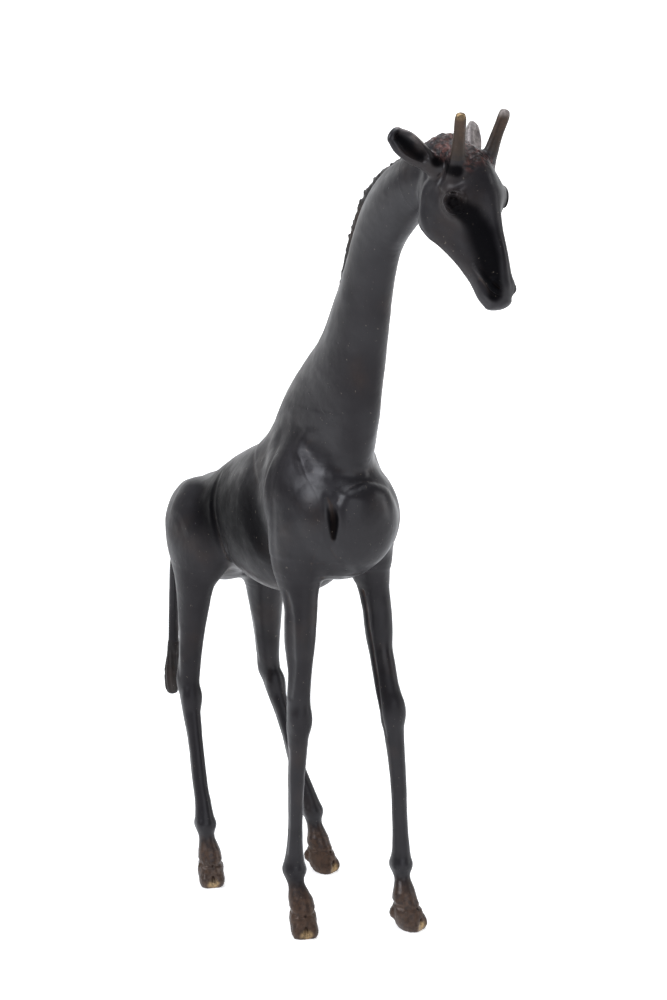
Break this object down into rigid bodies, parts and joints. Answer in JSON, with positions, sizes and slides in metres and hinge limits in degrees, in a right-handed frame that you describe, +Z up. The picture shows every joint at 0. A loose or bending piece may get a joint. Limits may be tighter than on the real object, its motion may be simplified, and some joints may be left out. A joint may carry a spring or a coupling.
{
  "type": "giraffe statue",
  "caption": "Free-standing cast bronze figure of a walking giraffe with its head turned, on four hooves, dark patina.",
  "frame": {"origin": "centre of the bounding box, at the level of the four soles", "axes": "+X the way the giraffe faces, +Y its left side, +Z up"},
  "size_m": [0.3449, 0.0886, 0.4893],
  "materials": {
    "dark_bronze": "near-black patinated bronze, satin, soft blue-grey sheen",
    "rough_bronze": "near-black to brown patina over a rough, chased surface",
    "worn_bronze": "dark patina rubbed through to golden metal at the tips",
    "hoof_bronze": "brown patina, rubbed at the toes",
    "pin_bronze": "bare bronze rod, as cut"
  },
  "bodies": {
    "root": {"body_casting": "dark_bronze", "neck_casting": "dark_bronze", "head_casting": "dark_bronze", "mane_strip": "rough_bronze", "right_ear": "dark_bronze", "left_ear": "dark_bronze", "right_ossicone": "worn_bronze", "left_ossicone": "worn_bronze", "tail": "dark_bronze", "tail_tuft": "rough_bronze", "front_right_leg": "dark_bronze", "front_left_leg": "dark_bronze", "rear_right_leg": "dark_bronze", "rear_left_leg": "dark_bronze", "front_right_hoof": "hoof_bronze", "front_left_hoof": "hoof_bronze", "rear_right_hoof": "hoof_bronze", "rear_left_hoof": "hoof_bronze", "leg_joint_pins": "pin_bronze", "hoof_dowels": "pin_bronze", "neck_joint_pins": "pin_bronze", "head_joint_pin": "pin_bronze", "ear_dowels": "pin_bronze", "ossicone_dowels": "pin_bronze", "tail_dowel": "pin_bronze", "tuft_dowel": "pin_bronze", "core_plugs": "pin_bronze"}
  },
  "joints": []
}
